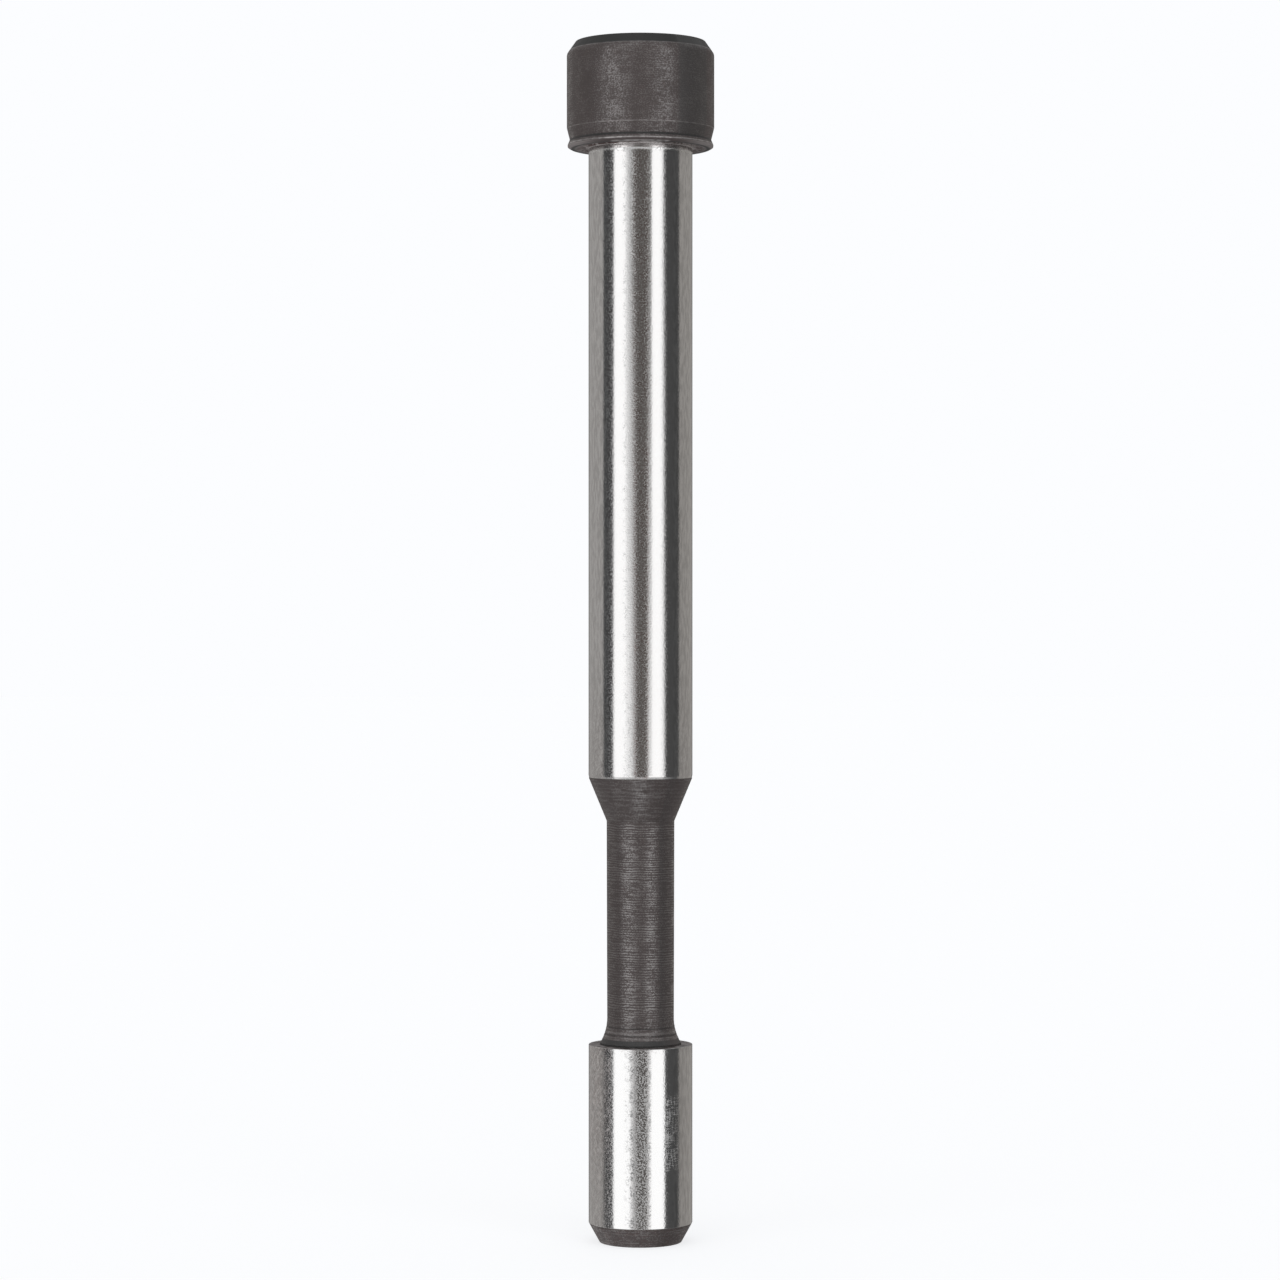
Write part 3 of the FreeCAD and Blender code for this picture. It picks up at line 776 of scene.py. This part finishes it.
def turned(name, section, finish, body, nodes, marks=(), segments=SEGMENTS):
    """A turned piece. marks holds (feed, depth, rub, low, high) for each cut: its feed and depth in
    millimetres, how bare its crests are rubbed, and the heights it lies between."""
    marked = (min(mark[3] for mark in marks), max(mark[4] for mark in marks)) if marks else None
    curve = bpy.data.curves.new(name, "CURVE")
    curve.dimensions = "3D"
    rows = section.rows(marked)[::-1]
    spline = curve.splines.new("POLY")
    spline.points.add(len(rows) - 1)
    spline.use_cyclic_u = True
    for point, row in zip(spline.points, rows):
        point.co = ((row.x - RAIL_RADIUS) * MM, -row.y * MM, 0.0, 1.0)
    piece = placed(name, curve)
    add_nodes(piece, LATHE, Segments=segments, Finish=finish)
    piece = as_mesh(piece)
    for seed, (feed, depth, rub, low, high) in enumerate(marks):
        add_nodes(
            piece,
            MARKS,
            Feed=feed * MM,
            Depth=depth * MM,
            Rub=rub,
            Low=low * MM,
            High=high * MM,
            Seed=float(seed * 17 + 3),
            Finish=finish,
        )
    if marks:
        piece = as_mesh(piece)
    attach(piece, body)
    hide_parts(*nodes)
    return piece


def knob():
    """The knob, bevelled below and chamfered above, with its counterbore for the screw."""
    bevel_top = flange_top + KNOB_BEVEL_HEIGHT
    chamfer_bottom = knob_top - KNOB_CHAMFER_HEIGHT
    counterbore_bottom = knob_top - COUNTERBORE_DEPTH
    bore_top = flange_top + KNOB_BORE_DEPTH
    section = (
        Section(KNOB_BORE_RADIUS, flange_top)
        .to(knob_radius - KNOB_BEVEL_DEPTH, flange_top, 0.03)
        .to(knob_radius, bevel_top, 1.2)
        .to(knob_radius, chamfer_bottom, 1.0)
        .to(knob_radius - KNOB_CHAMFER_DEPTH, knob_top, 0.12)
        .to(COUNTERBORE_RADIUS + COUNTERBORE_BEVEL, knob_top)
        .to(COUNTERBORE_RADIUS, knob_top - COUNTERBORE_BEVEL)
        .to(COUNTERBORE_RADIUS, counterbore_bottom)
        .to(SCREW_WAY_RADIUS, counterbore_bottom)
        .to(SCREW_WAY_RADIUS, bore_top)
        .to(KNOB_BORE_RADIUS, bore_top)
    )
    chamfer_line = chamfer_bottom + 0.5
    finish = BlackOxide("knob_black_oxide", lined=0.6)
    # The chamfer is left smooth and painted darker than the rest: painted shade, as it faces the dim light above.
    finish.smooth(chamfer_line, knob_top - 0.03, 0.042)
    finish.rub(bevel_top - 0.2, 0.14, 0.45)
    finish.rub(chamfer_line, 0.14, 0.35, shift=1.0)
    finish.faced(knob_top, knob_radius - KNOB_CHAMFER_DEPTH)
    # Painted shade: the right side, which faces the dark screens, is drawn in a plain grey without glints.
    finish.plain(finish.facing(47.0, 16.0) * 0.6, 0.088)
    finish.soften(finish.facing(-53.0, 14.0), 0.5)
    finish.soften(finish.facing(75.0, 12.0), 0.6)
    marks = [(0.3, 0.0025, 0.6, bevel_top, chamfer_bottom)]
    return turned("knob", section, finish.done(), "plunger", ["release_knob"], marks)


def collar():
    """The collar: a spigot down the shank, a stub above its end, a boss and a dished rim."""
    boss_radius = shank_radius + BOSS_WIDTH
    bush_seat = span("rod_bush")[2] + SEAT_CLEARANCE
    section = (
        Section(bush_seat, collar_bottom)
        .to(spigot_radius, collar_bottom)
        .to(spigot_radius, stub_bottom, 0.0)
        .to(shank_radius - STUB_STEP, stub_bottom, 0.02)
        .to(shank_radius - STUB_STEP, boss_bottom)
        .to(boss_radius - 0.1, boss_bottom, 0.1)
        .to(boss_radius, flange_bottom)
        .to(flange_radius - FLANGE_BEVEL, flange_bottom - FLANGE_LIP, 0.95)
        .to(flange_radius, flange_bottom - 0.04, 0.15)
        .to(flange_radius, flange_bottom + 0.26, 0.25)
        .to(flange_radius - FLANGE_EDGE_DEPTH, flange_top, 0.03)
        .to(bush_seat, flange_top)
    )
    return turned("flange_collar", section, collar_finish(), "barrel", ["top_collar"])


def shank():
    """The shank's tube, worn in at its lower end."""
    bore = spigot_radius + SEAT_CLEARANCE
    section = (
        Section(bore, cone_top)
        .to(shank_radius - WORN_EDGE, cone_top, 0.03)
        .to(shank_radius, cone_top + WORN_EDGE * 4.0, 1.0)
        .to(shank_radius, stub_bottom, 0.03)
        .to(bore, stub_bottom)
    )
    return turned("shank", section, shank_steel(), "barrel", ["shank_sleeve"])


def neck():
    """The neck: its hollow foot, its tapered stem and its cone, bored for the rod and carrier."""
    foot = NECK_RADIUS + NECK_FLARE
    rise = math.sqrt(NECK_FILLET_RADIUS**2 - (NECK_FILLET_RADIUS - NECK_FLARE) ** 2)
    fillet_top = pilot_top + rise
    _, carrier_top, carrier_radius = span("magnet_carrier")
    pocket = carrier_radius + POCKET_ROOM
    pocket_top = carrier_top + travel + POCKET_END_ROOM
    bush_bottom, _, bush_radius = span("neck_bush")
    bush_seat = bush_radius + SEAT_CLEARANCE
    section = (
        Section(pocket, core_bottom)
        .to(pilot_seat, core_bottom)
        .to(pilot_seat, pilot_top, 0.0)
        .to(foot, pilot_top)
        .hollow(NECK_RADIUS, fillet_top, NECK_FILLET_RADIUS)
        .to(NECK_RADIUS + NECK_TAPER, cone_bottom, 0.4)
        .to(shank_radius - BLACK_STEP, cone_top)
        .to(spigot_radius, cone_top, 0.0)
        .to(spigot_radius, core_top)
        .to(bush_seat, core_top)
        .to(bush_seat, bush_bottom)
        .to(ROD_WAY_RADIUS, bush_bottom)
        .to(ROD_WAY_RADIUS, pocket_top)
        .to(pocket, pocket_top)
    )
    finish = BlackOxide("neck_black_oxide", shade=0.94, lined=1.6)
    finish.smooth(pilot_top - 1.0, pilot_top + 0.95, 0.066)
    finish.soften(finish.height.between(cone_bottom - 1.2, cone_bottom), 0.5)
    finish.soften(finish.facing(-64.0, 26.0), 0.4)
    # Painted shade: the right side is drawn partly in a plain grey without glints.
    finish.plain(finish.facing(50.0, 16.0) * 0.4, 0.084)
    # Painted light: the right side is painted lighter, and lighter still from the cone's foot upwards.
    painted_light_right = finish.angle.near(62.0, 40.0) * 0.5
    finish.tint = finish.mixed(painted_light_right, finish.tint, brown(0.1))
    painted_light_right = painted_light_right * finish.height.between(cone_bottom - 0.5, cone_bottom + 0.8)
    finish.tint = finish.mixed(painted_light_right, finish.tint, brown(0.13))
    # Painted highlights and painted shade: light rings on the foot's turned ridges and dark rings in its grooves.
    for rise, reach in ((1.1, 0.15), (1.35, 0.13), (2.05, 0.3)):
        finish.rub(pilot_top + rise, reach, 0.3, shift=rise)
    for rise, reach in ((1.66, 0.2), (2.78, 0.26)):
        finish.groove(pilot_top + rise, reach)
    worn = finish.angle.near(0.0, 20.0) * finish.height.between(cone_bottom, cone_bottom + 1.5)
    dashes = finish.scratches(NECK_RADIUS, 90.0, 0.7, 0.2, shift=61.0).between(0.5, 0.62)
    rings = finish.noise(2.6, 0.24, detail=2.0, shift=63.0).between(0.46, 0.58)
    patch = worn * (rings * 0.8 + dashes * 0.5)
    finish.glints = finish.glints + patch
    finish.bare = finish.bare + patch * 0.11
    marks = [
        (0.38, 0.009, 1.0, fillet_top, cone_bottom - 0.3),
        (0.6, 0.009, 0.5, cone_bottom + 0.2, cone_top - 0.2),
        (0.62, 0.016, 0.5, pilot_top + 1.1, fillet_top - 0.8),
    ]
    return turned(
        "neck", section, finish.done(), "barrel", ["neck_core"], marks, NECK_SEGMENTS
    )


def pilot():
    """The pilot's sleeve."""
    bore = pilot_seat + SEAT_CLEARANCE
    section = (
        Section(bore, pilot_bottom)
        .to(pilot_radius, pilot_bottom, GROUND_EDGE)
        .to(pilot_radius, pilot_top, GROUND_EDGE)
        .to(bore, pilot_top)
    )
    return turned("pilot", section, pilot_steel(), "barrel", ["pilot_sleeve"])


def nose():
    """The nose ring, chamfered below, with its spigot in the pilot."""
    bore = LINER_FOOT_RADIUS + SEAT_CLEARANCE
    section = (
        Section(bore, nose_bottom)
        .to(pilot_radius - NOSE_CHAMFER_DEPTH, nose_bottom, 0.12)
        .to(pilot_radius - BLACK_STEP, pilot_bottom, 0.1)
        .to(pilot_seat, pilot_bottom, 0.0)
        .to(pilot_seat, nose_ring_top)
        .to(bore, nose_ring_top)
    )
    finish = BlackOxide("nose_black_oxide", shade=1.2, lined=0.8)
    rust = finish.noise(0.9, 0.4, detail=3.0, shift=41.0).between(0.5, 0.64)
    finish.tint = finish.mixed(rust * 0.5, finish.tint, brown(0.11, 0.4))
    finish.rub(0.05, 0.1, 0.3)
    marks = [(0.45, 0.007, 0.7, 0.25, pilot_bottom - 0.2)]
    return turned("nose", section, finish.done(), "barrel", ["nose_ring"], marks)


def inner_finishes():
    """Finishes for the CAD pieces that stay, by material slot of the record."""
    return {
        "liner_brass": bright_metal("turned_brass", (0.72, 0.52, 0.22), (0.5, 0.33, 0.13)),
        "bush_bronze": bright_metal("oiled_bronze", (0.5, 0.32, 0.17), (0.34, 0.2, 0.1), 0.4),
        "plated_steel": bright_metal("zinc_plate", (0.55, 0.55, 0.54), (0.42, 0.42, 0.4)),
        "spring_steel": bright_metal("oiled_spring_steel", (0.24, 0.23, 0.22), (0.14, 0.13, 0.12)),
        "rod_steel": bright_metal("polished_rod", (0.6, 0.6, 0.59), (0.48, 0.47, 0.45), 0.15),
        "magnet_nickel": bright_metal("nickel_plate", (0.66, 0.63, 0.58), (0.5, 0.47, 0.42), 0.12),
        "screw_black": BlackOxide("screw_black_oxide", lined=0.3).done(),
    }


def spring(finish):
    """The return spring between its two seats, wound once at the length that the CAD model gives it."""
    foot, top, outside = span("return_spring")
    piece = placed("spring", bpy.data.meshes.new("spring"))
    add_nodes(
        piece,
        COIL,
        Turns=SPRING_TURNS,
        Radius=(outside - SPRING_WIRE / 2) * MM,
        Wire=SPRING_WIRE * MM,
        Length=(top - foot) * MM,
        Foot=foot * MM,
        Finish=finish,
    )
    piece = as_mesh(piece)
    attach(piece, "barrel")
    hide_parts("return_spring")
    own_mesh(piece)


def dress_inner_pieces(finishes):
    """Gives the CAD pieces that still show their finishes."""
    for part in frame["record"]["subparts"]:
        piece = frame["nodes"][part["node"]]
        if part["material_slot"] in finishes and not piece.hide_render:
            for slot in piece.material_slots:
                slot.material = finishes[part["material_slot"]]


# ============================================================================== studio
BACKDROP = (0.973, 0.982, 1.0, 1.0)
PAPER = (0.42, 0.425, 0.43, 1.0)
FLOOR_GLOW = 0.755          # of the backdrop's colour, that the camera sees on the floor
FLOOR_HALF = 4.0            # metres, as are the camera's places
CAMERA_DISTANCE = 0.59
CAMERA_SIDE = -0.00008
CAMERA_HEIGHT = 0.0955
CAMERA_LENS = 108.62
CAMERA_SENSOR = 36.0
LENS_RISE = -0.01869        # share of the picture's width that it is shifted up
BRIGHTEST = 2.5             # strength at the top of the scale of every table
STRIPS_FULL = 0.26          # slope up or down to which the strips are at full strength
STRIPS_END = 0.55           # slope at which only the plain walls are left
RING_SLOPE = 0.12           # slope up at which RING_HIGH is seen, and down for RING_LOW
# Degrees round from the camera's side, how bright the studio is there, and how warm.
RING_HIGH = (
    (-180, 0.2, 0.0),
    (-166, 0.22, 0.02),
    (-158, 0.36, 0.03),
    (-150, 0.47, 0.03),
    (-92, 0.53, 0.03),
    (-89.5, 0.1, -0.02),
    (-63, 0.1, -0.02),
    (-59.3, 1.85, 0.0),
    (-35, 1.85, 0.0),
    (-30.5, 1.15, 0.0),
    (-22, 0.62, 0.0),
    (-17, 0.3, 0.04),
    (-12, 0.16, 0.06),
    (23, 0.16, 0.06),
    (26, 1.85, 0.0),
    (49, 1.85, 0.0),
    (54, 0.1, 0.0),
    (94, 0.095, 0.0),
    (97, 0.42, 0.05),
    (150, 0.4, 0.05),
    (158, 0.34, 0.04),
    (166, 0.22, 0.02),
    (180, 0.2, 0.0),
)
RING_LOW = (
    (-180, 0.2, 0.0),
    (-166, 0.22, 0.02),
    (-158, 0.36, 0.03),
    (-150, 0.47, 0.03),
    (-92, 0.5, 0.03),
    (-88, 0.11, -0.02),
    (-66, 0.11, -0.02),
    (-61.8, 1.85, 0.0),
    (-27, 1.85, 0.0),
    (-20, 1.65, 0.0),
    (-13, 0.95, 0.0),
    (-7, 0.2, 0.05),
    (14, 0.24, 0.05),
    (18.5, 1.85, 0.0),
    (53, 1.85, 0.0),
    (57.5, 0.11, 0.0),
    (92, 0.1, 0.0),
    (97, 0.38, 0.05),
    (150, 0.42, 0.05),
    (158, 0.34, 0.04),
    (166, 0.22, 0.02),
    (180, 0.2, 0.0),
)
CEILING = (
    (-180, 0.7, 0.0),
    (-120, 0.42, 0.0),
    (-60, 0.5, 0.0),
    (-22, 0.8, 0.0),
    (0, 1.1, 0.0),
    (22, 0.8, 0.0),
    (60, 0.4, 0.0),
    (120, 0.38, 0.0),
    (180, 0.7, 0.0),
)
SKIRTING = (
    (-180, 0.5, 0.0),
    (-135, 0.9, 0.0),
    (-95, 0.5, 0.0),
    (-60, 0.95, 0.0),
    (-25, 0.6, 0.0),
    (0, 0.85, 0.0),
    (25, 0.6, 0.0),
    (50, 0.6, 0.0),
    (95, 0.1, 0.0),
    (135, 0.4, 0.0),
    (180, 0.5, 0.0),
)


def studio():
    """A ring of soft strip lights and dark screens round the tool, white behind it."""
    world = bpy.data.worlds.new("studio")
    bpy.context.scene.world = world
    sky = Shader(world)
    sky.tree.nodes.clear()
    way = sky.node("ShaderNodeTexCoord").outputs["Generated"]
    right, back, slope = [
        Field(sky, axis) for axis in sky.node("ShaderNodeSeparateXYZ", {}, way).outputs
    ]
    turn = right.maths("ARCTAN2", back * -1.0)
    share = turn.maths("MULTIPLY_ADD", 1 / (2 * math.pi), 0.5)

    def ring_of(table):
        """The colours of a table, spread round the tool."""
        ramp = sky.node("ShaderNodeValToRGB", {}, share)
        stops = ramp.color_ramp.elements
        for degrees, _, _ in table[1:-1]:
            stops.new(degrees / 360 + 0.5)
        for stop, (_, level, warmth) in zip(stops, table):
            stop.color = grey(level / BRIGHTEST, warmth)
        return ramp.outputs[0]

    lower = sky.node("ShaderNodeMapRange", {}, slope, RING_SLOPE, -RING_SLOPE).outputs[0]
    strips = sky.mixed(lower, ring_of(RING_HIGH), ring_of(RING_LOW))
    fade = slope.maths("ABSOLUTE").between(STRIPS_FULL, STRIPS_END)
    above = slope.maths("GREATER_THAN", 0.0)
    plain = sky.mixed(above, ring_of(SKIRTING), ring_of(CEILING))
    ring = sky.node("ShaderNodeBackground", {}, sky.mixed(fade, strips, plain), BRIGHTEST)
    white = sky.node("ShaderNodeBackground", {}, BACKDROP)
    seen = sky.node("ShaderNodeLightPath").outputs["Is Camera Ray"]
    pick = sky.node("ShaderNodeMixShader", {}, seen, ring.outputs[0], white.outputs[0])
    sky.node("ShaderNodeOutputWorld", {}, pick.outputs[0])


def floor():
    """A pale floor that keeps a soft shadow and isn't mirrored in the steel."""
    mesh = bpy.data.meshes.new("floor")
    corners = [(x * FLOOR_HALF, y * FLOOR_HALF, 0) for x, y in ((-1, -1), (1, -1), (1, 1), (-1, 1))]
    mesh.from_pydata(corners, [], [(0, 1, 2, 3)])
    piece = placed("floor", mesh)
    material = bpy.data.materials.new("floor_paper")
    paper = Shader(material)
    paper.tree.nodes.clear()
    sheet = paper.node("ShaderNodeBsdfDiffuse", {}, PAPER)
    seen = Field(paper, paper.node("ShaderNodeLightPath").outputs["Is Camera Ray"])
    glow = paper.node("ShaderNodeEmission", {}, BACKDROP, seen * FLOOR_GLOW)
    both = paper.node("ShaderNodeAddShader", {}, sheet.outputs[0], glow.outputs[0])
    paper.node("ShaderNodeOutputMaterial", {}, both.outputs[0])
    mesh.materials.append(material)
    piece.visible_glossy = False


def camera():
    """The camera, level and in front, at about half the tool's height."""
    data = bpy.data.cameras.new("camera")
    data.lens = CAMERA_LENS
    data.shift_y = LENS_RISE
    data.sensor_width = CAMERA_SENSOR
    data.clip_start = 0.01
    data.clip_end = 20.0
    eye = placed("camera", data)
    eye.location = (CAMERA_SIDE, -CAMERA_DISTANCE, CAMERA_HEIGHT)
    eye.rotation_euler = (math.radians(90), 0.0, 0.0)
    bpy.context.scene.camera = eye


knob()
collar()
shank()
neck()
pilot()
nose()
inner = inner_finishes()
spring(inner["spring_steel"])
dress_inner_pieces(inner)
studio()
floor()
camera()
bpy.context.scene.view_settings.view_transform = "Standard"
